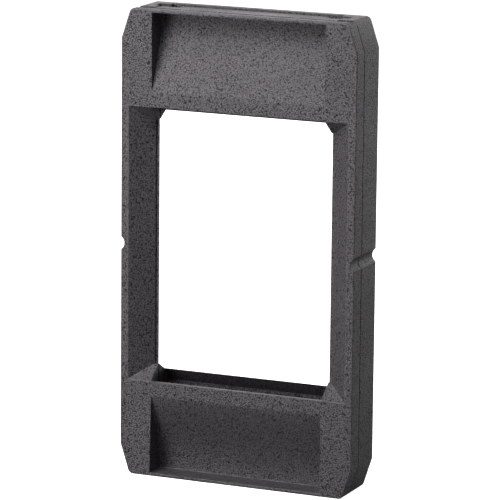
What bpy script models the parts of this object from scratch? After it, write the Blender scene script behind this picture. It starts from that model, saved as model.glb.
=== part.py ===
"""Negative carrier for roll film: a front cover on a rear frame, held shut by six pairs of disc magnets.

Metres, +Z up. The carrier stands on its short edge with its front towards -Y, and the origin is
at the middle of the edge that it stands on.
"""

import math

import bmesh
import bpy
from mathutils import Matrix, Vector

MM = 0.001

# Outer body
WIDTH = 80.0 * MM
DEPTH = 18.35 * MM
HEIGHT = 150.7 * MM
CLIP_WIDTH = 3.14 * MM
CLIP_HEIGHT = 9.64 * MM
CLIP_ROUND = 1.5 * MM
FRONT_ROUND = 0.5 * MM
REAR_ROUND = 0.5 * MM
SEAM_ROUND = 0.2 * MM

# The seam between the two mouldings, as depths from the front face
SEAM = 6.1 * MM
SEAM_GAP = 0.3 * MM
COVER_BACK = SEAM - SEAM_GAP / 2.0
FRAME_FRONT = SEAM + SEAM_GAP / 2.0

# Window: half widths, and distances from the short edges
WINDOW_FRONT_HALF = 37.4 * MM
WINDOW_COVER_HALF = 30.2 * MM
WINDOW_GATE_HALF = 29.2 * MM
WINDOW_REAR_HALF = 36.0 * MM
WINDOW_FRONT_END = 31.1 * MM
WINDOW_GATE_END = 35.8 * MM
WINDOW_REAR_END = 29.0 * MM

# Front ramp recesses in the header and the footer
RAMP_HALF = 29.35 * MM
RAMP_START = 26.7 * MM
RAMP_LIP = 1.1 * MM
RAMP_DEPTH = 7.8 * MM
RAMP_PULL_START = (18.0 * MM, 2.6 * MM)
RAMP_PULL_END = 11.0 * MM
RAMP_STEPS = 20
RAMP_WALL = 1.5 * MM
RAMP_BOX_HALF = 30.9 * MM
END_STEP = 0.3 * MM
GUIDE_STEP = 0.5 * MM

# Pry groove along the top edge, in the cover beside the seam
PRY_FRONT = 2.6 * MM
PRY_DEPTH = 0.7 * MM

# Film path: a shallow channel at the window that curves back to a slot in each short edge
CHANNEL_HALF = 31.25 * MM
CHANNEL_DEPTH = 6.55 * MM
SLOT_HALF = 33.0 * MM
SLOT_SIDE_DEPTH = 14.1 * MM
SLOT_MIDDLE_DEPTH = 15.6 * MM
SLOT_MOUTH = 4.0 * MM
SLOT_FRONT = 9.6 * MM
FUNNEL_EDGE_DEPTH = 10.5 * MM
FUNNEL_EDGE_END = 33.3 * MM
FUNNEL_KNEE_DEPTH = 14.0 * MM
FUNNEL_KNEE_END = 29.0 * MM
CURVE_STEPS = 20

# Guide tongue on the back of the cover
TONGUE_HALF = 25.0 * MM
TONGUE_START = 16.0 * MM
TONGUE_DEPTH = 13.7 * MM
TONGUE_FRONT = 8.9 * MM
TONGUE_NOSE = 0.4 * MM
TONGUE_FOOT = 8.0 * MM

# Side ribs beside the tongue, which guide the film's edges
RIB_INNER = 27.0 * MM
RIB_START = 12.5 * MM
RIB_FIRST_DEPTH = 8.2 * MM
RIB_DEPTH = 11.2 * MM

# Side notches
NOTCH_CHORD = 4.3 * MM
NOTCH_DEPTH = 1.2 * MM

# Magnets and locating pegs
MAGNET_RADIUS = 2.0 * MM
MAGNET_THICKNESS = 2.0 * MM
MAGNET_CLEARANCE = 0.15 * MM
MAGNET_SINK = 0.05 * MM
MAGNET_X = 35.8 * MM
MAGNET_END = 13.0 * MM
PEG_RADIUS = 1.25 * MM
PEG_CLEARANCE = 0.2 * MM
PEG_LENGTH = 2.2 * MM
PEG_X = 35.8 * MM
PEG_END = 24.0 * MM

CUT_SPARE = 2.0 * MM
JOIN_OVERLAP = 0.25 * MM
ROUND_SIDES = 32


def remove_everything():
    """Empty the scene of objects and leave no collection behind."""
    for item in list(bpy.data.objects):
        bpy.data.objects.remove(item, do_unlink=True)
    for group in list(bpy.data.collections):
        bpy.data.collections.remove(group)


def new_collection(name):
    """Add a collection to the scene and return it."""
    group = bpy.data.collections.new(name)
    bpy.context.scene.collection.children.link(group)
    return group


def make_material(name, color, roughness, metallic):
    """Return a Principled material."""
    material = bpy.data.materials.new(name)
    material.use_nodes = True
    shader = material.node_tree.nodes["Principled BSDF"]
    shader.inputs["Base Color"].default_value = (*color, 1.0)
    shader.inputs["Roughness"].default_value = roughness
    shader.inputs["Metallic"].default_value = metallic
    material.diffuse_color = (*color, 1.0)
    return material


def link_object(name, mesh, group):
    """Add an object for a mesh to a collection."""
    item = bpy.data.objects.new(name, mesh)
    group.objects.link(item)
    return item


def across(depth):
    """Return the world Y of a depth measured from the front face."""
    return depth - DEPTH / 2.0


def outline_solid(name, points, extrude, rotation, location, group):
    """Make a closed solid from a flat outline, extruded both ways from its plane."""
    curve = bpy.data.curves.new(name + "_outline", "CURVE")
    curve.dimensions = "2D"
    curve.fill_mode = "BOTH"
    curve.extrude = extrude
    spline = curve.splines.new("POLY")
    spline.points.add(len(points) - 1)
    for point, (first, second) in zip(spline.points, points):
        point.co = (first, second, 0.0, 1.0)
    spline.use_cyclic_u = True
    outline = bpy.data.objects.new(name + "_outline", curve)
    outline.rotation_euler = rotation
    outline.location = location
    group.objects.link(outline)
    bpy.context.view_layer.update()
    evaluated = outline.evaluated_get(bpy.context.evaluated_depsgraph_get())
    mesh = bpy.data.meshes.new_from_object(evaluated)
    mesh.transform(outline.matrix_world)
    bpy.data.objects.remove(outline, do_unlink=True)
    bpy.data.curves.remove(curve)
    work = bmesh.new()
    work.from_mesh(mesh)
    bmesh.ops.remove_doubles(work, verts=work.verts, dist=1e-6)
    bmesh.ops.dissolve_limit(work, angle_limit=math.radians(0.5), verts=work.verts, edges=work.edges)
    bmesh.ops.recalc_face_normals(work, faces=work.faces)
    work.to_mesh(mesh)
    work.free()
    mesh.name = name
    return link_object(name, mesh, group)


def plate(name, points, front, back, group):
    """Extrude an outline in X and Z between two depths."""
    middle = across((front + back) / 2.0)
    turn = (math.pi / 2.0, 0.0, 0.0)
    return outline_solid(name, points, (back - front) / 2.0, turn, (0.0, middle, 0.0), group)


def section(name, points, half_width, group, middle=0.0):
    """Extrude an outline of (depth, height) points across the width, about a middle X."""
    placed = [(across(depth), height) for depth, height in points]
    turn = (math.pi / 2.0, 0.0, math.pi / 2.0)
    return outline_solid(name, placed, half_width, turn, (middle, 0.0, 0.0), group)


def rod(name, radius, front, back, x, z, group):
    """Make a cylinder along Y between two depths, with its origin at its own middle."""
    work = bmesh.new()
    bmesh.ops.create_cone(work, cap_ends=True, segments=ROUND_SIDES, radius1=radius, radius2=radius,
                          depth=back - front)
    mesh = bpy.data.meshes.new(name)
    work.to_mesh(mesh)
    work.free()
    item = link_object(name, mesh, group)
    item.rotation_euler = (math.pi / 2.0, 0.0, 0.0)
    item.location = (x, across((front + back) / 2.0), z)
    return item


def rod_group(name, radius, front, back, places, group):
    """Make one tool object of several cylinders along Y, at world X and Z places."""
    work = bmesh.new()
    turn = Matrix.Rotation(math.pi / 2.0, 4, "X")
    for x, z in places:
        middle = Matrix.Translation((x, across((front + back) / 2.0), z))
        bmesh.ops.create_cone(work, cap_ends=True, segments=ROUND_SIDES, radius1=radius, radius2=radius,
                              depth=back - front, matrix=middle @ turn)
    mesh = bpy.data.meshes.new(name)
    work.to_mesh(mesh)
    work.free()
    return link_object(name, mesh, group)


def frustum(name, front, front_half, front_end, back, back_half, back_end, group):
    """Make a four-sided funnel for the window: a cube whose two Y faces get their own sizes."""
    work = bmesh.new()
    bmesh.ops.create_cube(work, size=2.0)
    for vert in work.verts:
        at_front = vert.co.y < 0.0
        half = front_half if at_front else back_half
        end = front_end if at_front else back_end
        depth = front if at_front else back
        half_height = HEIGHT / 2.0 - end
        vert.co = Vector((vert.co.x * half, across(depth), HEIGHT / 2.0 + vert.co.z * half_height))
    mesh = bpy.data.meshes.new(name)
    work.to_mesh(mesh)
    work.free()
    return link_object(name, mesh, group)


def add_boolean(item, other, operation):
    """Put an exact Boolean modifier on a part and mark its tool object as a construction aid."""
    modifier = item.modifiers.new(operation.lower() + "_" + other.name, "BOOLEAN")
    modifier.operation = operation
    modifier.solver = "EXACT"
    modifier.object = other
    other.hide_render = True
    other.display_type = "WIRE"


def cut(item, tools):
    """Subtract each tool from a part."""
    for tool in tools:
        add_boolean(item, tool, "DIFFERENCE")


def join(item, tools):
    """Add each tool to a part."""
    for tool in tools:
        add_boolean(item, tool, "UNION")


def body_outline():
    """Return the octagonal outline of the body, with its clip corners rounded at the short edges."""
    half = WIDTH / 2.0
    slope = math.hypot(CLIP_WIDTH, CLIP_HEIGHT)
    across_step = CLIP_WIDTH / slope * CLIP_ROUND
    up_step = CLIP_HEIGHT / slope * CLIP_ROUND
    corner = half - CLIP_WIDTH
    quarter = [(half, CLIP_HEIGHT), (corner + across_step, up_step)]
    for step in range(1, 4):
        share = step / 4.0
        start = (corner + across_step, up_step)
        end = (corner - CLIP_ROUND, 0.0)
        x = (1 - share) ** 2 * start[0] + 2 * share * (1 - share) * corner + share ** 2 * end[0]
        z = (1 - share) ** 2 * start[1]
        quarter.append((x, z))
    quarter.append((corner - CLIP_ROUND, 0.0))
    bottom = quarter + [(-x, z) for x, z in reversed(quarter)]
    return bottom + [(x, HEIGHT - z) for x, z in reversed(bottom)]


def round_outer_edges(item, outer_depth, outer_round, inner_round):
    """Bevel the rim at the outer face fully and the rim at the seam lightly."""
    mesh = item.data
    weights = mesh.attributes.new("bevel_weight_edge", "FLOAT", "EDGE")
    outer_y = across(outer_depth)
    for edge in mesh.edges:
        ends = [mesh.vertices[index].co for index in edge.vertices]
        if abs(ends[0].y - ends[1].y) > 1e-6:
            continue
        on_outer = abs(ends[0].y - outer_y) < 1e-6
        weights.data[edge.index].value = 1.0 if on_outer else inner_round / outer_round
    bevel = item.modifiers.new("rim", "BEVEL")
    bevel.limit_method = "WEIGHT"
    bevel.offset_type = "OFFSET"
    bevel.width = outer_round
    bevel.segments = 3
    bevel.use_clamp_overlap = False


def ramp_points():
    """Return the ramp's (distance from the short edge, depth) points, from its start to its lip."""
    start = Vector((RAMP_START, 0.0))
    pull_start = Vector(RAMP_PULL_START)
    pull_end = Vector((RAMP_PULL_END, RAMP_DEPTH))
    end = Vector((RAMP_LIP, RAMP_DEPTH))
    points = []
    for step in range(RAMP_STEPS + 1):
        t = step / RAMP_STEPS
        s = 1.0 - t
        point = s ** 3 * start + 3 * s * s * t * pull_start + 3 * s * t * t * pull_end + t ** 3 * end
        points.append((point.x, point.y))
    return points


def film_points(first_end, first_depth, last_depth):
    """Return a cosine S from a depth at the window to another at the short edge."""
    points = []
    for step in range(CURVE_STEPS + 1):
        share = step / CURVE_STEPS
        depth = first_depth + (last_depth - first_depth) * (0.5 - 0.5 * math.cos(math.pi * share))
        points.append((first_end * (1.0 - share), depth))
    return points


def at_both_ends(points):
    """Return (depth, height) outlines of (end distance, depth) points for the footer and the header."""
    footer = [(depth, end) for end, depth in points]
    header = [(depth, HEIGHT - end) for end, depth in points]
    return {"footer": footer, "header": header}


def magnet_places():
    """Return the name, X and Z of each magnet pair."""
    heights = {"bottom": MAGNET_END, "middle": HEIGHT / 2.0, "top": HEIGHT - MAGNET_END}
    sides = {"left": -MAGNET_X, "right": MAGNET_X}
    return [(level + "_" + side, x, z) for level, z in heights.items() for side, x in sides.items()]


def magnet_spots():
    """Return the X and Z of each magnet pair."""
    return [(x, z) for name, x, z in magnet_places()]


def peg_spots():
    """Return the X and Z of each locating peg, one at each corner."""
    return [(x, z) for z in (PEG_END, HEIGHT - PEG_END) for x in (-PEG_X, PEG_X)]


def notch_cutter(front, back, owner, group):
    """Make the cutter of both side notches for one moulding."""
    half_chord = NOTCH_CHORD / 2.0
    radius = (half_chord ** 2 + NOTCH_DEPTH ** 2) / (2.0 * NOTCH_DEPTH)
    reach = WIDTH / 2.0 - NOTCH_DEPTH + radius
    places = [(-reach, HEIGHT / 2.0), (reach, HEIGHT / 2.0)]
    return rod_group(owner + "_notches", radius, front - CUT_SPARE, back + CUT_SPARE, places, group)


def ramp_recess_cutters(group):
    """Make the two front recess cutters, whose floor is the ramp."""
    recess = [(RAMP_START, -CUT_SPARE)] + ramp_points() + [(RAMP_LIP, -CUT_SPARE)]
    return [section("recess_" + end, points, RAMP_HALF, group)
            for end, points in at_both_ends(recess).items()]


def ramp_boxes(group):
    """Make the bodies that carry the ramps behind the seam, a wall's thickness behind their floors."""
    behind = [(end, depth + RAMP_WALL) for end, depth in ramp_points() if depth + RAMP_WALL > SEAM]
    inside = COVER_BACK - JOIN_OVERLAP
    shape = [(behind[0][0], inside)] + behind + [(END_STEP, behind[-1][1]), (END_STEP, inside)]
    return [section("ramp_box_" + end, points, RAMP_BOX_HALF, group)
            for end, points in at_both_ends(shape).items()]


def tongues(group):
    """Make the guide tongues that carry the cover's back out to the film slots."""
    nose = GUIDE_STEP + TONGUE_NOSE
    path = [(end, depth) for end, depth in film_points(WINDOW_GATE_END, SEAM, TONGUE_DEPTH)
            if nose < end < TONGUE_START]
    shape = [(TONGUE_START, COVER_BACK)] + path
    shape += [(nose, TONGUE_DEPTH), (GUIDE_STEP, TONGUE_DEPTH - TONGUE_NOSE)]
    shape += [(GUIDE_STEP, TONGUE_FRONT), (TONGUE_FOOT, RAMP_DEPTH)]
    return [section("tongue_" + end, points, TONGUE_HALF, group)
            for end, points in at_both_ends(shape).items()]


def ribs(group):
    """Make the side ribs that run on behind each ramp's wall."""
    path = film_points(RIB_START, RIB_FIRST_DEPTH, RIB_DEPTH)
    inside = COVER_BACK - JOIN_OVERLAP
    shape = [(RIB_START, inside)] + path[:-1] + [(GUIDE_STEP, RIB_DEPTH), (GUIDE_STEP, inside)]
    half_width = (RAMP_BOX_HALF - RIB_INNER) / 2.0
    middle = (RAMP_BOX_HALF + RIB_INNER) / 2.0
    return [section("rib_" + end + side, points, half_width, group, x)
            for end, points in at_both_ends(shape).items()
            for side, x in (("_left", -middle), ("_right", middle))]


def cover_funnel_cutters(group):
    """Make the cutters for the hollow behind each ramp's thin upper wall, which ends square at the window."""
    behind = [(end, depth + RAMP_WALL) for end, depth in ramp_points() if depth + RAMP_WALL < COVER_BACK]
    inner = WINDOW_GATE_END + CUT_SPARE
    back = COVER_BACK + CUT_SPARE
    shape = [(inner, -CUT_SPARE), (WINDOW_FRONT_END, -CUT_SPARE), (WINDOW_FRONT_END, RAMP_WALL)] + behind
    last_end = behind[-1][0] - (COVER_BACK - behind[-1][1])
    shape += [(last_end, back), (inner, back)]
    return [section("cover_funnel_" + end, points, RAMP_HALF, group)
            for end, points in at_both_ends(shape).items()]


def pry_groove(group):
    """Make the cutter of the groove along the top edge, where a nail lifts the cover off."""
    bottom = HEIGHT - PRY_DEPTH
    top = HEIGHT + CUT_SPARE
    back = COVER_BACK + CUT_SPARE
    shape = [(PRY_FRONT, bottom), (back, bottom), (back, top), (PRY_FRONT, top)]
    return [section("pry_groove", shape, WIDTH, group)]


def build_front_cover(parts, tools, material):
    """Build the front moulding: window bevels, ramp recesses, guide tongues and magnet pockets."""
    cover = plate("front_cover", body_outline(), 0.0, COVER_BACK, parts)
    cover.data.materials.append(material)
    round_outer_edges(cover, 0.0, FRONT_ROUND, SEAM_ROUND)
    slope = (WINDOW_FRONT_HALF - WINDOW_COVER_HALF) / SEAM
    end_slope = (WINDOW_GATE_END - WINDOW_FRONT_END) / SEAM
    window = frustum("cover_window", -CUT_SPARE, WINDOW_FRONT_HALF + slope * CUT_SPARE,
                     WINDOW_FRONT_END - end_slope * CUT_SPARE, SEAM, WINDOW_COVER_HALF,
                     WINDOW_GATE_END, tools)
    cut(cover, [window])
    cut(cover, cover_funnel_cutters(tools) + pry_groove(tools))
    join(cover, ramp_boxes(tools))
    join(cover, tongues(tools))
    join(cover, ribs(tools))
    cut(cover, ramp_recess_cutters(tools))
    pocket_front = COVER_BACK - MAGNET_SINK - MAGNET_THICKNESS - MAGNET_CLEARANCE
    pockets = rod_group("cover_pockets", MAGNET_RADIUS + MAGNET_CLEARANCE, pocket_front,
                         COVER_BACK + CUT_SPARE, magnet_spots(), tools)
    sockets = rod_group("peg_sockets", PEG_RADIUS + PEG_CLEARANCE, FRAME_FRONT - PEG_LENGTH - PEG_CLEARANCE,
                         COVER_BACK + CUT_SPARE, peg_spots(), tools)
    cut(cover, [notch_cutter(0.0, COVER_BACK, "cover", tools), pockets, sockets])
    return cover


def build_rear_frame(parts, tools, material):
    """Build the rear moulding: film channel, funnels, film slots, pegs and magnet pockets."""
    frame = plate("rear_frame", body_outline(), FRAME_FRONT, DEPTH, parts)
    frame.data.materials.append(material)
    round_outer_edges(frame, DEPTH, REAR_ROUND, SEAM_ROUND)
    slope = (WINDOW_REAR_HALF - WINDOW_GATE_HALF) / (DEPTH - SEAM)
    end_slope = (WINDOW_GATE_END - WINDOW_REAR_END) / (DEPTH - SEAM)
    window = frustum("frame_window", SEAM, WINDOW_GATE_HALF, WINDOW_GATE_END, DEPTH + CUT_SPARE,
                     WINDOW_REAR_HALF + slope * CUT_SPARE, WINDOW_REAR_END - end_slope * CUT_SPARE, tools)
    cut(frame, [window])
    rail = film_points(WINDOW_GATE_END, CHANNEL_DEPTH, SLOT_SIDE_DEPTH)
    funnel = [(FUNNEL_EDGE_END, FUNNEL_EDGE_DEPTH)]
    funnel += film_points(FUNNEL_KNEE_END, FUNNEL_KNEE_DEPTH, SLOT_MIDDLE_DEPTH)
    for owner, half, inner, path in (
            ("rail", CHANNEL_HALF, HEIGHT / 2.0, rail),
            ("funnel", WINDOW_GATE_HALF, WINDOW_GATE_END + CUT_SPARE, funnel)):
        shape = [(inner, COVER_BACK - CUT_SPARE), (inner, path[0][1])] + path
        shape += [(-CUT_SPARE, path[-1][1]), (-CUT_SPARE, COVER_BACK - CUT_SPARE)]
        cut(frame, [section(owner + "_" + end, points, half, tools)
                    for end, points in at_both_ends(shape).items()])
    mouth = [(SLOT_MOUTH, SLOT_FRONT), (SLOT_MOUTH, SLOT_SIDE_DEPTH), (-CUT_SPARE, SLOT_SIDE_DEPTH),
             (-CUT_SPARE, SLOT_FRONT)]
    cut(frame, [section("mouth_" + end, points, SLOT_HALF, tools)
                for end, points in at_both_ends(mouth).items()])
    pocket_back = FRAME_FRONT + MAGNET_SINK + MAGNET_THICKNESS + MAGNET_CLEARANCE
    pockets = rod_group("frame_pockets", MAGNET_RADIUS + MAGNET_CLEARANCE, FRAME_FRONT - CUT_SPARE,
                         pocket_back, magnet_spots(), tools)
    cut(frame, [notch_cutter(FRAME_FRONT, DEPTH, "frame", tools), pockets])
    pegs = rod_group("pegs", PEG_RADIUS, FRAME_FRONT - PEG_LENGTH, FRAME_FRONT + PEG_LENGTH, peg_spots(), tools)
    join(frame, [pegs])
    return frame


def build_magnets(parts, material):
    """Build the disc magnets, one in each moulding at each place."""
    for name, x, z in magnet_places():
        cover_back = COVER_BACK - MAGNET_SINK
        frame_front = FRAME_FRONT + MAGNET_SINK
        pair = (rod("cover_magnet_" + name, MAGNET_RADIUS, cover_back - MAGNET_THICKNESS, cover_back,
                    x, z, parts),
                rod("frame_magnet_" + name, MAGNET_RADIUS, frame_front, frame_front + MAGNET_THICKNESS,
                    x, z, parts))
        for magnet in pair:
            magnet.data.materials.append(material)


def main():
    """Build the whole carrier."""
    remove_everything()
    parts = new_collection("negative_carrier")
    tools = new_collection("negative_carrier_tools")
    tools.hide_render = True
    cover_plastic = make_material("cover_plastic", (0.045, 0.043, 0.045), 0.62, 0.0)
    frame_plastic = make_material("frame_plastic", (0.040, 0.038, 0.040), 0.62, 0.0)
    nickel = make_material("magnet_nickel", (0.62, 0.61, 0.58), 0.22, 1.0)
    build_front_cover(parts, tools, cover_plastic)
    build_rear_frame(parts, tools, frame_plastic)
    build_magnets(parts, nickel)


main()
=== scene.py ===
"""A negative carrier for roll film: two grained black mouldings held together by disc magnets."""

import logging
import math
from dataclasses import dataclass
from enum import Enum
from typing import Callable, Iterable, Sequence

import bmesh
import bpy
from mathutils import Matrix, Vector, geometry


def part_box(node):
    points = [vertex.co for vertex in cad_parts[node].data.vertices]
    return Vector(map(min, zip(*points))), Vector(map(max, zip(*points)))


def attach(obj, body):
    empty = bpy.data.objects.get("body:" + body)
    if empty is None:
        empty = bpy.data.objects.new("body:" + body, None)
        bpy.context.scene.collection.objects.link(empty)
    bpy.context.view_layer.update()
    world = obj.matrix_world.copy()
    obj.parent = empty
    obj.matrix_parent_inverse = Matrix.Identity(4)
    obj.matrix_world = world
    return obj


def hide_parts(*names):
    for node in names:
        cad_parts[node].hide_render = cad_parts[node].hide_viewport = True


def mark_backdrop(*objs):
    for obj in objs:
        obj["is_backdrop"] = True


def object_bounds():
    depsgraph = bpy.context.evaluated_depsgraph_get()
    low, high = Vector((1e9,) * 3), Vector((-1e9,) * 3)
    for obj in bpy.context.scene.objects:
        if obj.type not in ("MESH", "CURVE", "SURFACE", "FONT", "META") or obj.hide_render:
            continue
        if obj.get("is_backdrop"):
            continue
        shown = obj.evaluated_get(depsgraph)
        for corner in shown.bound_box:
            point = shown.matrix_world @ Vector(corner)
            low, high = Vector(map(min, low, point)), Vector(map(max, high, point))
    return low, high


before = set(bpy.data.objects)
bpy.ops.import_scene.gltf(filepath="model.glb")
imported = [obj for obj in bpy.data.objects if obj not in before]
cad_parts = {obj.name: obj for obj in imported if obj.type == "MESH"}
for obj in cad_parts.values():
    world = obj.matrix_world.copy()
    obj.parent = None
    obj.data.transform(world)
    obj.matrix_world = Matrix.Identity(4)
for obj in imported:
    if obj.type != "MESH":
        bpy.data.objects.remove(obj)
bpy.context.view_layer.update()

MM = 0.001
LOG = logging.getLogger("negative_carrier")

WELD_DISTANCE = 0.002 * MM
COPLANAR_ANGLE = math.radians(0.3)
SHARP_ANGLE = math.radians(30.0)
SMOOTH_ANGLE = math.radians(32.0)
PLANE_TOLERANCE = 1e-7
SHORTEST_ROUNDED = 0.3 * MM
ROOM_SHARES = (0.02, 0.5, 0.98)
ROOM_IN_ROUNDINGS = 2.2
ROOM_FACING = 0.5
CRISP_SEGMENTS = 3
# Marks the faces made by rounding; the grained plastic paints them paler as an edge highlight.
EDGE_LAYER = "rounding_mark"

MIX_FACTOR, MIX_FIRST, MIX_SECOND, MIX_RESULT = 0, 6, 7, 2
WHITE = (1.0, 1.0, 1.0, 1.0)


class Join(Enum):
    """How a tool solid changes the solid it meets."""

    CUT = "DIFFERENCE"
    ADD = "UNION"


class End(Enum):
    """The two short ends of the carrier."""

    FOOTER = "footer"
    HEADER = "header"


@dataclass(frozen=True)
class CarrierSizes:
    """The sizes that both mouldings share, in metres.

    Depths are measured from the front face towards the back, and ends from the nearer short edge.
    """

    width: float
    depth: float
    height: float
    cover_back: float
    frame_front: float
    clip_width: float = 3.14 * MM
    clip_height: float = 9.64 * MM
    clip_round: float = 1.5 * MM
    ramp_half: float = 29.35 * MM
    ramp_start: float = 26.7 * MM
    ramp_lip: float = 1.1 * MM
    ramp_depth: float = 7.8 * MM
    ramp_wall: float = 1.5 * MM
    gate_half: float = 29.2 * MM
    gate_end: float = 35.8 * MM
    notch_chord: float = 4.3 * MM
    notch_depth: float = 1.2 * MM
    crisp_round: float = 0.22 * MM
    overshoot: float = 2.0 * MM

    def across(self, depth: float) -> float:
        """The world Y of a depth measured from the front face."""
        return depth - self.depth / 2.0

    def placed(self, end: End, distance: float) -> float:
        """The world Z of a distance from one short edge."""
        return distance if end is End.FOOTER else self.height - distance

    @property
    def seam(self) -> float:
        """The depth of the seam between the mouldings."""
        return (self.cover_back + self.frame_front) / 2.0


def sizes_from_frame() -> CarrierSizes:
    """Reads the outer sizes from the fixed frame.

    Returns:
        The shared sizes, with the body and the seam where the frame has them.
    """
    low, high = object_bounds()
    frame_low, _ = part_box("rear_frame")
    depth = high.y - low.y
    frame_front = frame_low.y + depth / 2.0 + PEG.length
    seam_gap = 0.3 * MM
    return CarrierSizes(width=high.x - low.x, depth=depth, height=high.z - low.z,
                        cover_back=frame_front - seam_gap, frame_front=frame_front)


@dataclass(frozen=True)
class PegSizes:
    """A moulded locating peg of the rear frame and its socket in the cover."""

    radius: float = 1.25 * MM
    clearance: float = 0.2 * MM
    length: float = 2.2 * MM
    x: float = 35.8 * MM
    end: float = 24.0 * MM


@dataclass(frozen=True)
class MagnetSizes:
    """A disc magnet and its pocket."""

    radius: float = 2.0 * MM
    thickness: float = 2.0 * MM
    clearance: float = 0.15 * MM
    sink: float = 0.05 * MM
    x: float = 35.8 * MM
    end: float = 13.0 * MM
    edge_round: float = 0.2 * MM


PEG = PegSizes()
MAGNET = MagnetSizes()


# --------------------------------------------------------------------------------------------------
# Mesh helpers
# --------------------------------------------------------------------------------------------------


def prism(outline: Sequence[Vector], sweep: Vector) -> bmesh.types.BMesh:
    """Sweeps a flat closed outline along a straight line.

    Args:
        outline: The corners of the outline, in order.
        sweep: The way and the distance that the outline is swept.

    Returns:
        A closed solid whose faces point outwards.
    """
    shape = bmesh.new()
    ring = [shape.verts.new(point) for point in outline]
    first = shape.faces.new(ring)
    grown = bmesh.ops.extrude_face_region(shape, geom=[first])["geom"]
    moved = [item for item in grown if isinstance(item, bmesh.types.BMVert)]
    bmesh.ops.translate(shape, verts=moved, vec=sweep)
    bmesh.ops.recalc_face_normals(shape, faces=shape.faces)
    return shape


def drilled(radius: float, front: float, back: float, spots: Iterable[tuple[float, float]],
            segments: int = 40) -> bmesh.types.BMesh:
    """Makes cylinders along Y between two world Y values.

    Args:
        radius: The radius of each cylinder.
        front: The lower Y.
        back: The higher Y.
        spots: The X and Z of each cylinder.
        segments: The sides of each cylinder.

    Returns:
        One bmesh that holds all the cylinders.
    """
    shape = bmesh.new()
    turn = Matrix.Rotation(math.pi / 2.0, 4, "X")
    for x, z in spots:
        middle = Matrix.Translation((x, (front + back) / 2.0, z))
        bmesh.ops.create_cone(shape, cap_ends=True, segments=segments, radius1=radius, radius2=radius,
                              depth=back - front, matrix=middle @ turn)
    return shape


def as_object(shape: bmesh.types.BMesh, name: str) -> bpy.types.Object:
    """Turns a bmesh into a linked object and frees the bmesh.

    Args:
        shape: The finished bmesh.
        name: The name of the object and its mesh.

    Returns:
        The object, at the origin.
    """
    mesh = bpy.data.meshes.new(name)
    shape.to_mesh(mesh)
    shape.free()
    piece = bpy.data.objects.new(name, mesh)
    bpy.context.scene.collection.objects.link(piece)
    return piece


def combined(base: bmesh.types.BMesh, tool: bmesh.types.BMesh, how: Join) -> bmesh.types.BMesh:
    """Cuts a tool solid from a base solid, or adds it.

    Args:
        base: The solid that is changed. It is freed.
        tool: The solid that changes it. It is freed.
        how: Whether the tool is cut away or added.

    Returns:
        The new solid.
    """
    base_piece = as_object(base, "base_blank")
    tool_piece = as_object(tool, "tool_blank")
    modifier = base_piece.modifiers.new("combine", "BOOLEAN")
    modifier.operation = how.value
    modifier.solver = "EXACT"
    modifier.object = tool_piece
    graph = bpy.context.evaluated_depsgraph_get()
    result = bmesh.new()
    result.from_object(base_piece, graph)
    for piece in (base_piece, tool_piece):
        mesh = piece.data
        bpy.data.objects.remove(piece, do_unlink=True)
        bpy.data.meshes.remove(mesh)
    return result


def tidied(shape: bmesh.types.BMesh) -> bmesh.types.BMesh:
    """Welds what Booleans leave doubled and joins coplanar faces again.

    Args:
        shape: The solid to tidy, which is changed in place.

    Returns:
        The same solid.
    """
    bmesh.ops.remove_doubles(shape, verts=shape.verts, dist=WELD_DISTANCE)
    bmesh.ops.dissolve_limit(shape, angle_limit=COPLANAR_ANGLE, verts=shape.verts, edges=shape.edges)
    return shape


def has_room(edge: bmesh.types.BMEdge, radius: float) -> bool:
    """Whether both faces beside an edge are wide enough to be rounded back from it.

    Args:
        edge: The edge to test.
        radius: How far back the rounding would start.

    Returns:
        False if another edge of either face lies ahead of this one, within a little over two
        roundings of it.
    """
    along = (edge.verts[1].co - edge.verts[0].co).normalized()
    for face in edge.link_faces:
        inward = face.normal.cross(along)
        if inward.dot(face.calc_center_median() - edge.verts[0].co) < 0.0:
            inward.negate()
        others = [other for other in face.edges if not set(other.verts) & set(edge.verts)]
        for share in ROOM_SHARES:
            spot = edge.verts[0].co.lerp(edge.verts[1].co, share)
            for other in others:
                start, end = (vert.co for vert in other.verts)
                nearest, part = geometry.intersect_point_line(spot, start, end)
                nearest = start.lerp(end, min(max(part, 0.0), 1.0))
                gap = nearest - spot
                ahead = gap.dot(inward) > ROOM_FACING * gap.length
                if gap.length < ROOM_IN_ROUNDINGS * radius and ahead:
                    return False
    return True


def lies_at(edge: bmesh.types.BMEdge, y: float) -> bool:
    """Whether an edge lies in the plane of one world Y."""
    return all(abs(vert.co.y - y) < PLANE_TOLERANCE for vert in edge.verts)


def takes_rounding(edge: bmesh.types.BMEdge, radius: float) -> bool:
    """Whether an edge is long enough, and its faces wide enough, for a small rounding."""
    return edge.calc_length() > SHORTEST_ROUNDED and has_room(edge, radius)


def softened(shape: bmesh.types.BMesh, radius: float, segments: int,
             wanted: Callable[[bmesh.types.BMEdge], bool]) -> bmesh.types.BMesh:
    """Rounds the sharp edges that a test picks, and marks the new faces, which the grained plastic paints
    paler as an edge highlight.

    Args:
        shape: The solid to round, which is changed in place.
        radius: How far back from an edge the rounding starts.
        segments: The faces across the rounding.
        wanted: The test of an edge.

    Returns:
        The same solid.
    """
    layers = shape.faces.layers.float
    mark = layers.get(EDGE_LAYER) or layers.new(EDGE_LAYER)
    sharp = [edge for edge in shape.edges
             if edge.is_manifold and edge.calc_face_angle(0.0) > SHARP_ANGLE and wanted(edge)]
    made = bmesh.ops.bevel(shape, geom=sharp, offset=radius, offset_type="OFFSET", segments=segments,
                           profile=0.5, affect="EDGES", material=-1, clamp_overlap=False)
    for face in made["faces"]:
        face[mark] = 1.0
    return shape


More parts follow.
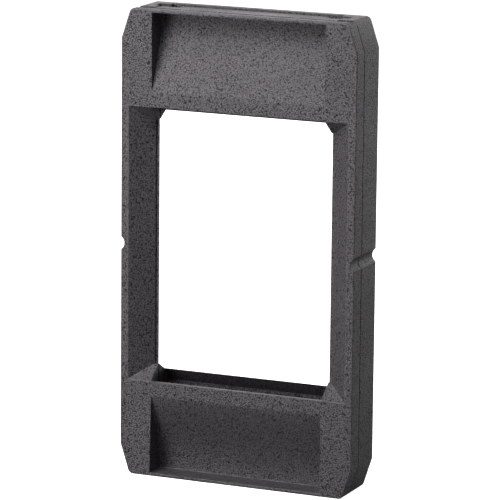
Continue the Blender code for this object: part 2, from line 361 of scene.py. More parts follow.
def dressed(shape: bmesh.types.BMesh, name: str, finish: bpy.types.Material) -> bpy.types.Object:
    """Turns a solid into a piece with one finish, smooth roundings, flat faces and hard creases.

    Args:
        shape: The finished solid. It is freed.
        name: The name of the piece.
        finish: Its material.

    Returns:
        The piece.
    """
    piece = as_object(shape, name)
    piece.data.materials.append(finish)
    piece.data.shade_smooth()
    piece.data.set_sharp_from_angle(angle=SMOOTH_ANGLE)
    even = piece.modifiers.new("flat_faces", "WEIGHTED_NORMAL")
    even.mode = "FACE_AREA"
    even.keep_sharp = True
    return piece


# --------------------------------------------------------------------------------------------------
# Curves of the film path
# --------------------------------------------------------------------------------------------------


@dataclass(frozen=True)
class RampCurve:
    """The floor of a front recess: a Bezier from the face down to the lip at the short edge."""

    sizes: CarrierSizes
    pull_start: tuple[float, float] = (18.0 * MM, 2.6 * MM)
    pull_end: float = 11.0 * MM
    steps: int = 28

    def points(self, behind: float = 0.0) -> list[tuple[float, float]]:
        """Samples the curve.

        Args:
            behind: A wall's thickness, added to each depth.

        Returns:
            Pairs of distance from the short edge and depth, from the curve's start to the lip.
        """
        sizes = self.sizes
        anchors = (Vector((sizes.ramp_start, 0.0)), Vector(self.pull_start),
                   Vector((self.pull_end, sizes.ramp_depth)), Vector((sizes.ramp_lip, sizes.ramp_depth)))
        result = []
        for step in range(self.steps + 1):
            t = step / self.steps
            s = 1.0 - t
            weights = (s ** 3, 3.0 * s * s * t, 3.0 * s * t * t, t ** 3)
            parts = (anchor * weight for anchor, weight in zip(anchors, weights))
            point = sum(parts, Vector((0.0, 0.0)))
            result.append((point.x, point.y + behind))
        return result


@dataclass(frozen=True)
class FilmCurve:
    """A cosine S from a depth at the window to another depth at the short edge."""

    first_end: float
    first_depth: float
    last_depth: float
    steps: int = 24

    def points(self) -> list[tuple[float, float]]:
        """Pairs of distance from the short edge and depth, from the window outwards."""
        result = []
        for step in range(self.steps + 1):
            share = step / self.steps
            rise = 0.5 - 0.5 * math.cos(math.pi * share)
            result.append((self.first_end * (1.0 - share),
                           self.first_depth + (self.last_depth - self.first_depth) * rise))
        return result


@dataclass(frozen=True)
class Blanks:
    """Makes the solids that the mouldings are built from."""

    sizes: CarrierSizes
    arc_steps: int = 8

    def outline(self) -> list[tuple[float, float]]:
        """Draws the body's outline: a rectangle with long clipped corners, rounded at the short edges.

        Returns:
            Pairs of X and Z, in order.
        """
        sizes = self.sizes
        half = sizes.width / 2.0
        corner = half - sizes.clip_width
        run = math.hypot(sizes.clip_width, sizes.clip_height)
        start = Vector((corner + sizes.clip_width / run * sizes.clip_round,
                        sizes.clip_height / run * sizes.clip_round))
        end = Vector((corner - sizes.clip_round, 0.0))
        quarter = [(half, sizes.clip_height)]
        for step in range(self.arc_steps + 1):
            t = step / self.arc_steps
            point = start * (1.0 - t) ** 2 + Vector((corner, 0.0)) * 2.0 * t * (1.0 - t) + end * t * t
            quarter.append((point.x, point.y))
        bottom = quarter + [(-x, z) for x, z in reversed(quarter)]
        return bottom + [(x, sizes.height - z) for x, z in reversed(bottom)]

    def slab(self, front: float, back: float) -> bmesh.types.BMesh:
        """Sweeps the body's outline between two depths.

        Args:
            front: The lower depth.
            back: The higher depth.

        Returns:
            The solid.
        """
        sizes = self.sizes
        ring = [Vector((x, sizes.across(front), z)) for x, z in self.outline()]
        return prism(ring, Vector((0.0, back - front, 0.0)))

    def section(self, end: End, points: Sequence[tuple[float, float]], inner: float,
                outer: float) -> bmesh.types.BMesh:
        """Sweeps a side section across a stretch of the width.

        Args:
            end: The short end that the section belongs to.
            points: Pairs of distance from the short edge and depth.
            inner: The lower X.
            outer: The higher X.

        Returns:
            The solid.
        """
        sizes = self.sizes
        ring = [Vector((inner, sizes.across(depth), sizes.placed(end, distance)))
                for distance, depth in points]
        return prism(ring, Vector((outer - inner, 0.0, 0.0)))

    def centred(self, end: End, points: Sequence[tuple[float, float]],
                half: float) -> bmesh.types.BMesh:
        """Sweeps a side section across the middle, as far to the left as to the right."""
        return self.section(end, points, -half, half)

    def funnel(self, front: tuple[float, float, float],
               back: tuple[float, float, float]) -> bmesh.types.BMesh:
        """Makes the window's four-sided funnel.

        Args:
            front: The depth, half width and end distance of the funnel's front.
            back: The same of its back.

        Returns:
            The solid.
        """
        sizes = self.sizes
        shape = bmesh.new()
        bmesh.ops.create_cube(shape, size=2.0)
        for vert in shape.verts:
            depth, half, end = front if vert.co.y < 0.0 else back
            reach = sizes.height / 2.0 - end
            vert.co = Vector((vert.co.x * half, sizes.across(depth),
                              sizes.height / 2.0 + vert.co.z * reach))
        return shape

    def notches(self, front: float, back: float) -> bmesh.types.BMesh:
        """Makes the round cutters of the two side notches.

        Args:
            front: The lower depth of the moulding that is cut.
            back: Its higher depth.

        Returns:
            One bmesh that holds both.
        """
        sizes = self.sizes
        half_chord = sizes.notch_chord / 2.0
        radius = (half_chord ** 2 + sizes.notch_depth ** 2) / (2.0 * sizes.notch_depth)
        reach = sizes.width / 2.0 - sizes.notch_depth + radius
        spots = [(-reach, sizes.height / 2.0), (reach, sizes.height / 2.0)]
        return drilled(radius, sizes.across(front - sizes.overshoot),
                       sizes.across(back + sizes.overshoot), spots)


def magnet_spots(sizes: CarrierSizes) -> list[tuple[str, float, float]]:
    """Lists the magnet pairs.

    Args:
        sizes: The shared sizes.

    Returns:
        The name, X and Z of each pair.
    """
    levels = {"bottom": MAGNET.end, "middle": sizes.height / 2.0, "top": sizes.height - MAGNET.end}
    sides = {"left": -MAGNET.x, "right": MAGNET.x}
    return [(f"{level}_{side}", x, z) for level, z in levels.items() for side, x in sides.items()]


def peg_spots(sizes: CarrierSizes) -> list[tuple[float, float]]:
    """The X and Z of each locating peg."""
    return [(x, z) for z in (PEG.end, sizes.height - PEG.end) for x in (-PEG.x, PEG.x)]


# --------------------------------------------------------------------------------------------------
# Finishes
# --------------------------------------------------------------------------------------------------


@dataclass
class NodeSheet:
    """A short way to lay out a material's nodes."""

    material: bpy.types.Material

    @classmethod
    def fresh(cls, name: str) -> "NodeSheet":
        """Starts a material with its default shader."""
        material = bpy.data.materials.new(name)
        material.use_nodes = True
        return cls(material)

    @property
    def shader(self) -> bpy.types.Node:
        """The material's Principled shader."""
        return self.material.node_tree.nodes["Principled BSDF"]

    def add(self, kind: str, **settings: object) -> bpy.types.Node:
        """Adds a node and sets its properties.

        Args:
            kind: The node's type name.
            settings: Properties of the node.

        Returns:
            The node.
        """
        node = self.material.node_tree.nodes.new(kind)
        for key, value in settings.items():
            setattr(node, key, value)
        return node

    def link(self, source: bpy.types.NodeSocket, target: bpy.types.NodeSocket) -> None:
        """Joins two sockets."""
        self.material.node_tree.links.new(source, target)

    def noise(self, where: bpy.types.NodeSocket, per_metre: float, detail: float,
              roughness: float = 0.5) -> bpy.types.NodeSocket:
        """Adds a noise.

        Args:
            where: The position that the noise is read at.
            per_metre: Its scale.
            detail: Its octaves.
            roughness: How strong the finer octaves are.

        Returns:
            Its factor.
        """
        node = self.add("ShaderNodeTexNoise")
        node.inputs["Scale"].default_value = per_metre
        node.inputs["Detail"].default_value = detail
        node.inputs["Roughness"].default_value = roughness
        self.link(where, node.inputs["Vector"])
        return node.outputs["Fac"]

    def pebbles(self, where: bpy.types.NodeSocket, per_metre: float) -> bpy.types.NodeSocket:
        """Adds a pattern of close, uneven cells.

        Args:
            where: The position that the pattern is read at.
            per_metre: The cells to a metre.

        Returns:
            The distance from the middle of the nearest cell, in cells.
        """
        node = self.add("ShaderNodeTexVoronoi", feature="F1")
        node.inputs["Scale"].default_value = per_metre
        self.link(where, node.inputs["Vector"])
        return node.outputs["Distance"]

    def ranged(self, value: bpy.types.NodeSocket, low: float, high: float, to_low: float,
               to_high: float) -> bpy.types.NodeSocket:
        """Maps a value from one range to another and clamps it.

        Args:
            value: The value to map.
            low: The value that gives to_low.
            high: The value that gives to_high.
            to_low: The result at one end.
            to_high: The result at the other end.

        Returns:
            The mapped value.
        """
        node = self.add("ShaderNodeMapRange")
        for key, number in (("From Min", low), ("From Max", high), ("To Min", to_low), ("To Max", to_high)):
            node.inputs[key].default_value = number
        self.link(value, node.inputs["Value"])
        return node.outputs["Result"]

    def maths(self, operation: str, first: bpy.types.NodeSocket,
              second: bpy.types.NodeSocket | float) -> bpy.types.NodeSocket:
        """Adds a Math node.

        Args:
            operation: What the node works out.
            first: Its first input.
            second: Its second input, which may be a constant.

        Returns:
            Its result.
        """
        node = self.add("ShaderNodeMath", operation=operation)
        self.link(first, node.inputs[0])
        if isinstance(second, (int, float)):
            node.inputs[1].default_value = second
        else:
            self.link(second, node.inputs[1])
        return node.outputs[0]

    def blended(self, factor: bpy.types.NodeSocket, first: Sequence[float],
                second: Sequence[float]) -> bpy.types.NodeSocket:
        """Mixes two constant colours.

        Args:
            factor: How much there is of the second colour.
            first: The first colour.
            second: The second colour.

        Returns:
            The mixed colour.
        """
        node = self.add("ShaderNodeMix", data_type="RGBA")
        node.inputs[MIX_FIRST].default_value = (*first, 1.0)
        node.inputs[MIX_SECOND].default_value = (*second, 1.0)
        self.link(factor, node.inputs[MIX_FACTOR])
        return node.outputs[MIX_RESULT]


@dataclass(frozen=True)
class GrainedPlastic:
    """Matte black moulded plastic with a leathery grain whose valleys are painted darker as shade, and
    whose rounded edges are painted paler as a highlight.
    """

    name: str
    # The grain's low and high colours: the valleys are painted near black as shade of the relief, the peaks
    # paler as light.
    valley: tuple[float, float, float] = (0.0040, 0.0034, 0.0039)
    peak: tuple[float, float, float] = (0.075, 0.0664, 0.0733)
    # The paler colour painted on the rounded edges as a highlight.
    edge_highlight: tuple[float, float, float] = (0.070, 0.064, 0.068)
    valley_shine: float = 0.1
    peak_shine: float = 0.9
    grain_per_metre: float = 2300.0
    grain_range: tuple[float, float] = (0.92, 0.14)
    grain_height: float = 0.15 * MM
    fine_ratio: float = 3.1
    fine_detail: float = 2.0
    fine_range: tuple[float, float] = (0.3, 0.7)
    fine_height: float = 0.35
    fine_roughness: float = 0.05
    patches_per_metre: float = 42.0
    patch_detail: float = 3.0
    patch_range: tuple[float, float] = (0.3, 0.7)
    roughness: tuple[float, float] = (0.44, 0.58)
    # How strongly the edge highlight is painted, in patches; the edge gloss lowers the edges' roughness.
    highlight_range: tuple[float, float] = (0.35, 0.75)
    highlight_share: tuple[float, float] = (0.35, 0.95)
    edge_gloss: float = 0.08

    def build(self) -> bpy.types.Material:
        """Lays out the grain, its colour and its roughness.

        Returns:
            The material.
        """
        sheet = NodeSheet.fresh(self.name)
        where = sheet.add("ShaderNodeTexCoord").outputs["Object"]
        grain = sheet.ranged(sheet.pebbles(where, self.grain_per_metre), *self.grain_range, 0.0, 1.0)
        fine = sheet.noise(where, self.grain_per_metre * self.fine_ratio, self.fine_detail)
        patches = sheet.noise(where, self.patches_per_metre, self.patch_detail)
        edge = sheet.add("ShaderNodeAttribute", attribute_name=EDGE_LAYER).outputs["Fac"]

        # The grain is real; its colour follows its height, painted darker in the valleys as shade and paler
        # on the peaks as light.
        body = sheet.blended(grain, self.valley, self.peak)
        # Paints the rounded edges paler and even, in patches, as a highlight.
        highlighted = sheet.add("ShaderNodeMix", data_type="RGBA")
        highlight_share = sheet.maths("MULTIPLY", edge, sheet.ranged(patches, *self.highlight_range, *self.highlight_share))
        sheet.link(highlight_share, highlighted.inputs[MIX_FACTOR])
        sheet.link(body, highlighted.inputs[MIX_FIRST])
        highlighted.inputs[MIX_SECOND].default_value = (*self.edge_highlight, 1.0)
        sheet.link(highlighted.outputs[MIX_RESULT], sheet.shader.inputs["Base Color"])

        spread = sheet.ranged(patches, *self.patch_range, *self.roughness)
        rough = sheet.maths("SUBTRACT", spread, sheet.maths("MULTIPLY", edge, self.edge_gloss))
        shine = sheet.ranged(grain, 0.0, 1.0, self.valley_shine, self.peak_shine)
        sheet.link(shine, sheet.shader.inputs["Specular IOR Level"])
        speckle = sheet.ranged(fine, *self.fine_range, -self.fine_roughness, self.fine_roughness)
        sheet.link(sheet.maths("ADD", rough, speckle), sheet.shader.inputs["Roughness"])

        height = sheet.maths("ADD", grain, sheet.maths("MULTIPLY", fine, self.fine_height))
        bump = sheet.add("ShaderNodeBump")
        bump.inputs["Strength"].default_value = 1.0
        bump.inputs["Distance"].default_value = self.grain_height
        sheet.link(height, bump.inputs["Height"])
        sheet.link(bump.outputs["Normal"], sheet.shader.inputs["Normal"])
        return sheet.material


@dataclass(frozen=True)
class NickelPlate:
    """Bright nickel plating with fine scratches that run one way and a few dull spots."""

    name: str = "magnet_nickel"
    bright: tuple[float, float, float] = (0.66, 0.64, 0.60)
    dull: tuple[float, float, float] = (0.46, 0.44, 0.41)
    spots_per_metre: float = 900.0
    spot_detail: float = 3.0
    spot_range: tuple[float, float] = (0.45, 0.75)
    scratches_per_metre: float = 700.0
    scratch_detail: float = 4.0
    scratch_stretch: tuple[float, float, float] = (1.0, 1.0, 14.0)
    scratch_range: tuple[float, float] = (0.3, 0.7)
    roughness: tuple[float, float] = (0.16, 0.34)
    bump_strength: float = 0.4
    bump_height: float = 0.01 * MM

    def build(self) -> bpy.types.Material:
        """Lays out the scratches and the spots.

        Returns:
            The material.
        """
        sheet = NodeSheet.fresh(self.name)
        where = sheet.add("ShaderNodeTexCoord").outputs["Object"]
        spots = sheet.noise(where, self.spots_per_metre, self.spot_detail)
        stretch = sheet.add("ShaderNodeMapping")
        stretch.inputs["Scale"].default_value = self.scratch_stretch
        sheet.link(where, stretch.inputs["Vector"])
        scratches = sheet.noise(stretch.outputs["Vector"], self.scratches_per_metre, self.scratch_detail)
        dullness = sheet.ranged(spots, *self.spot_range, 0.0, 1.0)
        sheet.link(sheet.blended(dullness, self.bright, self.dull), sheet.shader.inputs["Base Color"])
        sheet.link(sheet.ranged(scratches, *self.scratch_range, *self.roughness),
                   sheet.shader.inputs["Roughness"])
        sheet.shader.inputs["Metallic"].default_value = 1.0
        bump = sheet.add("ShaderNodeBump")
        bump.inputs["Strength"].default_value = self.bump_strength
        bump.inputs["Distance"].default_value = self.bump_height
        sheet.link(scratches, bump.inputs["Height"])
        sheet.link(bump.outputs["Normal"], sheet.shader.inputs["Normal"])
        return sheet.material


@dataclass(frozen=True)
class StudioPaper:
    """Pale paper, with a faint tooth."""

    name: str = "studio_paper"
    light: tuple[float, float, float] = (0.93, 0.93, 0.93)
    dark: tuple[float, float, float] = (0.90, 0.90, 0.90)
    glow: float = 0.0
    tooth_per_metre: float = 60.0
    tooth_detail: float = 3.0
    roughness: float = 0.9

    def build(self) -> bpy.types.Material:
        """Lays out the tooth of the paper, and its glow if it has one.

        Returns:
            The material.
        """
        sheet = NodeSheet.fresh(self.name)
        where = sheet.add("ShaderNodeTexCoord").outputs["Object"]
        tooth = sheet.noise(where, self.tooth_per_metre, self.tooth_detail)
        sheet.link(sheet.blended(tooth, self.dark, self.light), sheet.shader.inputs["Base Color"])
        sheet.shader.inputs["Roughness"].default_value = self.roughness
        sheet.shader.inputs["Emission Color"].default_value = WHITE
        sheet.shader.inputs["Emission Strength"].default_value = self.glow
        return sheet.material


@dataclass(frozen=True)
class LightTable(StudioPaper):
    """The same pale surface with a glow of its own, so that it stays white round the object."""

    name: str = "light_table"
    glow: float = 1.0


# --------------------------------------------------------------------------------------------------
# Sub-assemblies
# --------------------------------------------------------------------------------------------------


@dataclass
class FrontCover:
    """The front moulding: window bevels, ramp recesses, and guides behind them."""

    sizes: CarrierSizes
    finish: bpy.types.Material
    window_front_half: float = 37.4 * MM
    window_back_half: float = 30.2 * MM
    window_front_end: float = 31.1 * MM
    front_round: float = 0.5 * MM
    front_segments: int = 5
    box_half: float = 30.9 * MM
    rib_inner: float = 27.0 * MM
    rib_start: float = 12.5 * MM
    rib_first_depth: float = 8.2 * MM
    rib_depth: float = 11.2 * MM
    rib_steps: int = 10
    tongue_half: float = 25.0 * MM
    tongue_start: float = 16.0 * MM
    tongue_depth: float = 13.7 * MM
    tongue_front: float = 8.9 * MM
    tongue_nose: float = 0.4 * MM
    tongue_foot: float = 8.0 * MM
    end_step: float = 0.3 * MM
    guide_step: float = 0.5 * MM
    pry_front: float = 2.6 * MM
    pry_depth: float = 0.7 * MM
    overlap: float = 0.25 * MM

    def build(self) -> bpy.types.Object:
        """Builds the moulding and dresses it.

        Returns:
            The finished piece.
        """
        sizes = self.sizes
        blanks = Blanks(sizes)
        shape = blanks.slab(0.0, sizes.cover_back)
        front_y = sizes.across(0.0)
        softened(shape, self.front_round, self.front_segments, lambda edge: lies_at(edge, front_y))
        shape = combined(shape, self._window(blanks), Join.CUT)
        shape = combined(shape, blanks.centred(End.HEADER, self._pry_groove(), sizes.width), Join.CUT)
        for end in End:
            shape = combined(shape, blanks.centred(end, self._hollow(), sizes.ramp_half), Join.CUT)
            shape = combined(shape, blanks.centred(end, self._box(), self.box_half), Join.ADD)
            shape = combined(shape, blanks.centred(end, self._tongue(), self.tongue_half), Join.ADD)
            for low, high in ((-self.box_half, -self.rib_inner), (self.rib_inner, self.box_half)):
                shape = combined(shape, blanks.section(end, self._rib(), low, high), Join.ADD)
            shape = combined(shape, blanks.centred(end, self._recess(), sizes.ramp_half), Join.CUT)
        shape = combined(shape, blanks.notches(0.0, sizes.cover_back), Join.CUT)
        shape = combined(shape, self._pockets(), Join.CUT)
        shape = combined(shape, self._sockets(), Join.CUT)
        tidied(shape)
        softened(shape, sizes.crisp_round, CRISP_SEGMENTS,
                 lambda edge: takes_rounding(edge, sizes.crisp_round))
        piece = dressed(shape, "front_cover_moulding", self.finish)
        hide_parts("front_cover")
        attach(piece, "front_half")
        LOG.info("front cover: %d faces", len(piece.data.polygons))
        return piece

    def _window(self, blanks: Blanks) -> bmesh.types.BMesh:
        """Makes the window's front funnel.

        Args:
            blanks: The maker of blanks.

        Returns:
            The cutter.
        """
        sizes = self.sizes
        slope = (self.window_front_half - self.window_back_half) / sizes.seam
        end_slope = (sizes.gate_end - self.window_front_end) / sizes.seam
        spare = sizes.overshoot
        front = (-spare, self.window_front_half + slope * spare,
                 self.window_front_end - end_slope * spare)
        return blanks.funnel(front, (sizes.seam, self.window_back_half, sizes.gate_end))

    def _hollow(self) -> list[tuple[float, float]]:
        """Draws the hollow behind a ramp's thin wall, which ends square at the window.

        Returns:
            Pairs of distance from the short edge and depth, as for the other sections below.
        """
        sizes = self.sizes
        wall = RampCurve(sizes).points(sizes.ramp_wall)
        behind = [point for point in wall if point[1] < sizes.cover_back]
        last_end = behind[-1][0] - (sizes.cover_back - behind[-1][1])
        top = sizes.gate_end + sizes.overshoot
        back = sizes.cover_back + sizes.overshoot
        square_edge = [(top, -sizes.overshoot), (self.window_front_end, -sizes.overshoot),
                       (self.window_front_end, sizes.ramp_wall)]
        return square_edge + behind + [(last_end, back), (top, back)]

    def _pry_groove(self) -> list[tuple[float, float]]:
        """The groove along the top edge, where a nail lifts the cover off."""
        sizes = self.sizes
        back = sizes.cover_back + sizes.overshoot
        return [(self.pry_depth, self.pry_front), (self.pry_depth, back), (-sizes.overshoot, back),
                (-sizes.overshoot, self.pry_front)]

    def _box(self) -> list[tuple[float, float]]:
        """The wall behind the deep part of a ramp."""
        sizes = self.sizes
        wall = RampCurve(sizes).points(sizes.ramp_wall)
        behind = [point for point in wall if point[1] > sizes.seam]
        start = sizes.cover_back - self.overlap
        return [(behind[0][0], start)] + behind + [(self.end_step, behind[-1][1]), (self.end_step, start)]

    def _rib(self) -> list[tuple[float, float]]:
        """The side rib that runs on behind the wall and guides the film's edge."""
        sizes = self.sizes
        path = FilmCurve(self.rib_start, self.rib_first_depth, self.rib_depth, self.rib_steps).points()
        inside = sizes.cover_back - self.overlap
        return [(self.rib_start, inside)] + path[:-1] + [(self.guide_step, self.rib_depth),
                                                         (self.guide_step, inside)]

    def _tongue(self) -> list[tuple[float, float]]:
        """The guide tongue that follows the film out to its slot."""
        sizes = self.sizes
        nose = self.guide_step + self.tongue_nose
        curve = FilmCurve(sizes.gate_end, sizes.seam, self.tongue_depth)
        path = [point for point in curve.points() if nose < point[0] < self.tongue_start]
        tip = [(nose, self.tongue_depth), (self.guide_step, self.tongue_depth - self.tongue_nose)]
        foot = [(self.guide_step, self.tongue_front), (self.tongue_foot, sizes.ramp_depth)]
        return [(self.tongue_start, sizes.cover_back)] + path + tip + foot

    def _recess(self) -> list[tuple[float, float]]:
        """The front recess, whose floor is the ramp."""
        sizes = self.sizes
        out = -sizes.overshoot
        return [(sizes.ramp_start, out)] + RampCurve(sizes).points() + [(sizes.ramp_lip, out)]

    def _pockets(self) -> bmesh.types.BMesh:
        """The magnet pockets in the back."""
        sizes = self.sizes
        front = sizes.cover_back - MAGNET.sink - MAGNET.thickness - MAGNET.clearance
        spots = [(x, z) for _, x, z in magnet_spots(sizes)]
        return drilled(MAGNET.radius + MAGNET.clearance, sizes.across(front),
                       sizes.across(sizes.cover_back + sizes.overshoot), spots)

    def _sockets(self) -> bmesh.types.BMesh:
        """The peg sockets in the back."""
        sizes = self.sizes
        front = sizes.frame_front - PEG.length - PEG.clearance
        return drilled(PEG.radius + PEG.clearance, sizes.across(front),
                       sizes.across(sizes.cover_back + sizes.overshoot), peg_spots(sizes))


@dataclass
class RearFrame:
    """The rear moulding: film rails, funnels, film slots, pegs and the rear window bevels."""

    sizes: CarrierSizes
    finish: bpy.types.Material
    window_back_half: float = 36.0 * MM
    window_back_end: float = 29.0 * MM
    rear_round: float = 0.5 * MM
    rear_segments: int = 4
    channel_half: float = 31.25 * MM
    channel_depth: float = 6.55 * MM
    slot_half: float = 33.0 * MM
    slot_side_depth: float = 14.1 * MM
    slot_middle_depth: float = 15.6 * MM
    slot_mouth: float = 4.0 * MM
    slot_front: float = 9.6 * MM
    funnel_depth: float = 10.5 * MM
    funnel_end: float = 33.3 * MM
    knee_depth: float = 14.0 * MM
    knee_end: float = 29.0 * MM

    def build(self) -> bpy.types.Object:
        """Builds the moulding and dresses it.

        Returns:
            The finished piece.
        """
        sizes = self.sizes
        blanks = Blanks(sizes)
        shape = blanks.slab(sizes.frame_front, sizes.depth)
        back_y = sizes.across(sizes.depth)
        softened(shape, self.rear_round, self.rear_segments, lambda edge: lies_at(edge, back_y))
        shape = combined(shape, self._window(blanks), Join.CUT)
        rails = self._channel(sizes.height / 2.0, FilmCurve(sizes.gate_end, self.channel_depth,
                                                            self.slot_side_depth).points())
        behind_knee = FilmCurve(self.knee_end, self.knee_depth, self.slot_middle_depth).points()
        funnel = self._channel(sizes.gate_end + sizes.overshoot,
                               [(self.funnel_end, self.funnel_depth)] + behind_knee)
        for end in End:
            shape = combined(shape, blanks.centred(end, rails, self.channel_half), Join.CUT)
            shape = combined(shape, blanks.centred(end, funnel, sizes.gate_half), Join.CUT)
            shape = combined(shape, blanks.centred(end, self._mouth(), self.slot_half), Join.CUT)
        shape = combined(shape, blanks.notches(sizes.frame_front, sizes.depth), Join.CUT)
        shape = combined(shape, self._pockets(), Join.CUT)
        shape = combined(shape, self._pegs(), Join.ADD)
        tidied(shape)
        softened(shape, sizes.crisp_round, CRISP_SEGMENTS,
                 lambda edge: takes_rounding(edge, sizes.crisp_round))
        piece = dressed(shape, "rear_frame_moulding", self.finish)
        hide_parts("rear_frame")
        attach(piece, "rear_half")
        LOG.info("rear frame: %d faces", len(piece.data.polygons))
        return piece

    def _window(self, blanks: Blanks) -> bmesh.types.BMesh:
        """Makes the window's rear funnel.

        Args:
            blanks: The maker of blanks.

        Returns:
            The cutter.
        """
        sizes = self.sizes
        run = sizes.depth - sizes.seam
        slope = (self.window_back_half - sizes.gate_half) / run
        end_slope = (sizes.gate_end - self.window_back_end) / run
        spare = sizes.overshoot
        back = (sizes.depth + spare, self.window_back_half + slope * spare,
                self.window_back_end - end_slope * spare)
        return blanks.funnel((sizes.seam, sizes.gate_half, sizes.gate_end), back)

    def _channel(self, top: float, path: list[tuple[float, float]]) -> list[tuple[float, float]]:
        """Draws a channel open to the front, whose floor runs back along a path to the short edge.

        Args:
            top: The channel's far end, as a distance from the short edge.
            path: The floor, as pairs of distance from the short edge and depth.

        Returns:
            The closed section, as such pairs.
        """
        sizes = self.sizes
        out = sizes.cover_back - sizes.overshoot
        past_edge = [(-sizes.overshoot, path[-1][1]), (-sizes.overshoot, out)]
        return [(top, out), (top, path[0][1])] + path + past_edge

    def _mouth(self) -> list[tuple[float, float]]:
        """The wider mouth of a film slot."""
        out = -self.sizes.overshoot
        return [(self.slot_mouth, self.slot_front), (self.slot_mouth, self.slot_side_depth),
                (out, self.slot_side_depth), (out, self.slot_front)]

    def _pockets(self) -> bmesh.types.BMesh:
        """The magnet pockets in the front."""
        sizes = self.sizes
        back = sizes.frame_front + MAGNET.sink + MAGNET.thickness + MAGNET.clearance
        spots = [(x, z) for _, x, z in magnet_spots(sizes)]
        return drilled(MAGNET.radius + MAGNET.clearance, sizes.across(sizes.frame_front - sizes.overshoot),
                       sizes.across(back), spots)

    def _pegs(self) -> bmesh.types.BMesh:
        """The locating pegs, each rooted in the frame."""
        sizes = self.sizes
        return drilled(PEG.radius, sizes.across(sizes.frame_front - PEG.length),
                       sizes.across(sizes.frame_front + PEG.length), peg_spots(sizes))


@dataclass
class Magnets:
    """The disc magnets of one moulding."""

    sizes: CarrierSizes
    finish: bpy.types.Material
    owner: str
    body: str
    front: float

    def build(self) -> list[bpy.types.Object]:
        """Builds the discs with rounded rims.

        Returns:
            The finished pieces.
        """
        return [self._disc(name, x, z) for name, x, z in magnet_spots(self.sizes)]

    def _disc(self, spot: str, x: float, z: float) -> bpy.types.Object:
        """Builds one disc and stands it in for its plain solid.

        Args:
            spot: The name of its place.
            x: The X of its middle.
            z: The Z of its middle.

        Returns:
            The finished piece.
        """
        sizes = self.sizes
        shape = drilled(MAGNET.radius, sizes.across(self.front),
                        sizes.across(self.front + MAGNET.thickness), [(x, z)])
        softened(shape, MAGNET.edge_round, CRISP_SEGMENTS, lambda edge: True)
        node = f"{self.owner}_magnet_{spot}"
        piece = dressed(shape, f"{self.owner}_disc_{spot}", self.finish)
        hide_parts(node)
        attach(piece, self.body)
        LOG.info("magnet %s", piece.name)
        return piece


# --------------------------------------------------------------------------------------------------
# Studio
# --------------------------------------------------------------------------------------------------


@dataclass(frozen=True)
class SoftBox:
    """A square area light on a circle round the object, aimed at its middle.

    Its bearing is measured from straight in front of the object, towards its right side.
    """

    name: str
    bearing: float
    elevation: float
    watts: float
    size: float = 0.38
    distance: float = 0.8

    def build(self, middle: Vector) -> bpy.types.Object:
        """Adds the light.

        Args:
            middle: The point that the light is aimed at.

        Returns:
            The light.
        """
        bearing, elevation = math.radians(self.bearing), math.radians(self.elevation)
        away = Vector((math.sin(bearing) * math.cos(elevation),
                       -math.cos(bearing) * math.cos(elevation), math.sin(elevation)))
        data = bpy.data.lights.new(self.name, "AREA")
        data.shape = "SQUARE"
        data.size = self.size
        data.energy = self.watts
        light = bpy.data.objects.new(self.name, data)
        light.location = middle + away * self.distance
        light.rotation_euler = (-away).to_track_quat("-Z", "Y").to_euler()
        bpy.context.scene.collection.objects.link(light)
        return light


RIG = (
    SoftBox("key_high", bearing=-30.0, elevation=41.0, watts=1.35, size=0.22, distance=0.42),
    SoftBox("top_front", bearing=-10.0, elevation=57.0, watts=4.0),
    SoftBox("key_floor", bearing=-30.0, elevation=5.0, watts=1.05, size=0.22, distance=0.45),
    SoftBox("rear_left", bearing=-152.0, elevation=20.0, watts=1.3),
    SoftBox("rear_right", bearing=170.0, elevation=20.0, watts=1.35),
    SoftBox("rear_floor", bearing=140.0, elevation=5.0, watts=1.5),
)


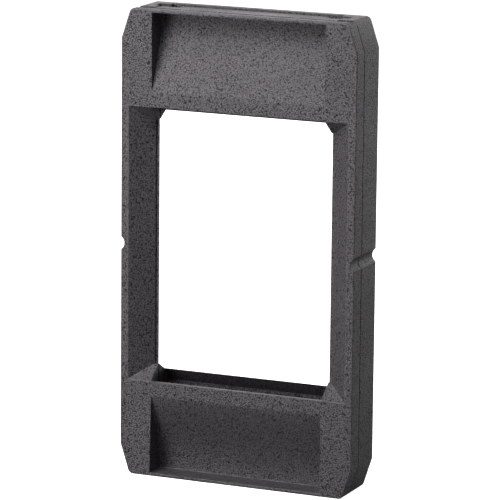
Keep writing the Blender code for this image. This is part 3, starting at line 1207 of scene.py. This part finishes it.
@dataclass
class Studio:
    """The floor, the lights and the camera."""

    sizes: CarrierSizes
    azimuth: float = math.radians(23.4767)
    elevation: float = math.radians(11.6172)
    roll: float = math.radians(0.5782)
    distance: float = 1.203207
    shift_right: float = -0.7539 * MM
    shift_up: float = 0.4300 * MM
    lens: float = 274.56
    sensor: float = 36.0
    clip_start: float = 0.05
    clip_end: float = 50.0
    floor_half: float = 30.0
    dome_segments: int = 32
    dome_rings: int = 16
    card_drop: float = 0.5 * MM
    fill: float = 0.16
    rig: tuple[SoftBox, ...] = RIG

    @property
    def middle(self) -> Vector:
        """The middle of the object."""
        return Vector((0.0, 0.0, self.sizes.height / 2.0))

    def build(self) -> None:
        """Sets up everything that isn't part of the object."""
        self._floor()
        self._world()
        self._camera()
        for light in self.rig:
            light.build(self.middle)
        bpy.context.scene.view_settings.view_transform = "Standard"

    def _floor(self) -> None:
        """Lays a glowing table that only the camera sees, over paper that only the light sees."""
        table = self._sheet("light_table", 0.0, LightTable().build())
        table.visible_diffuse = False
        table.visible_glossy = False
        card = self._sheet("bounce_paper", -self.card_drop, StudioPaper().build())
        card.visible_camera = False
        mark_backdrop(table, card)

    def _sheet(self, name: str, height: float, finish: bpy.types.Material) -> bpy.types.Object:
        """Makes one flat square sheet.

        Args:
            name: The name of the sheet.
            height: Its world Z.
            finish: Its material.

        Returns:
            The sheet.
        """
        shape = bmesh.new()
        bmesh.ops.create_grid(shape, x_segments=1, y_segments=1, size=self.floor_half,
                              matrix=Matrix.Translation((0.0, 0.0, height)))
        sheet = as_object(shape, name)
        sheet.data.materials.append(finish)
        return sheet

    def _world(self) -> None:
        """Fills the room with a little even light, inside a white dome that only the camera sees."""
        world = bpy.data.worlds.new("studio")
        world.use_nodes = True
        background = world.node_tree.nodes["Background"]
        background.inputs["Color"].default_value = WHITE
        background.inputs["Strength"].default_value = self.fill
        bpy.context.scene.world = world
        shape = bmesh.new()
        bmesh.ops.create_uvsphere(shape, u_segments=self.dome_segments, v_segments=self.dome_rings,
                                  radius=self.floor_half)
        dome = as_object(shape, "white_dome")
        dome.data.materials.append(LightTable(name="white_dome").build())
        dome.visible_diffuse = False
        dome.visible_glossy = False
        dome.visible_shadow = False
        dome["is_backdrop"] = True

    def _camera(self) -> None:
        """Places the camera, turned about its own axis by the roll."""
        sine, cosine = math.sin, math.cos
        ahead = Vector((-sine(self.azimuth) * cosine(self.elevation),
                        cosine(self.azimuth) * cosine(self.elevation), -sine(self.elevation)))
        level = ahead.cross(Vector((0.0, 0.0, 1.0))).normalized()
        upright = level.cross(ahead)
        right = level * cosine(self.roll) + upright * sine(self.roll)
        up = upright * cosine(self.roll) - level * sine(self.roll)
        place = self.middle - ahead * self.distance - right * self.shift_right - up * self.shift_up
        data = bpy.data.cameras.new("camera")
        data.lens = self.lens
        data.sensor_width = self.sensor
        data.clip_start = self.clip_start
        data.clip_end = self.clip_end
        camera = bpy.data.objects.new("camera", data)
        axes = Matrix((right, up, -ahead)).transposed().to_4x4()
        camera.matrix_world = Matrix.Translation(place) @ axes
        bpy.context.scene.collection.objects.link(camera)
        bpy.context.scene.camera = camera


def main() -> None:
    """Builds every piece and then the studio."""
    logging.basicConfig(level=logging.INFO, format="%(name)s: %(message)s")
    sizes = sizes_from_frame()
    cover_plastic = GrainedPlastic("cover_plastic").build()
    frame_plastic = GrainedPlastic("frame_plastic").build()
    nickel = NickelPlate().build()
    FrontCover(sizes, cover_plastic).build()
    RearFrame(sizes, frame_plastic).build()
    cover_magnet_front = sizes.cover_back - MAGNET.sink - MAGNET.thickness
    Magnets(sizes, nickel, "cover", "front_half", cover_magnet_front).build()
    Magnets(sizes, nickel, "frame", "rear_half", sizes.frame_front + MAGNET.sink).build()
    Studio(sizes).build()


if __name__ == "__main__":
    main()
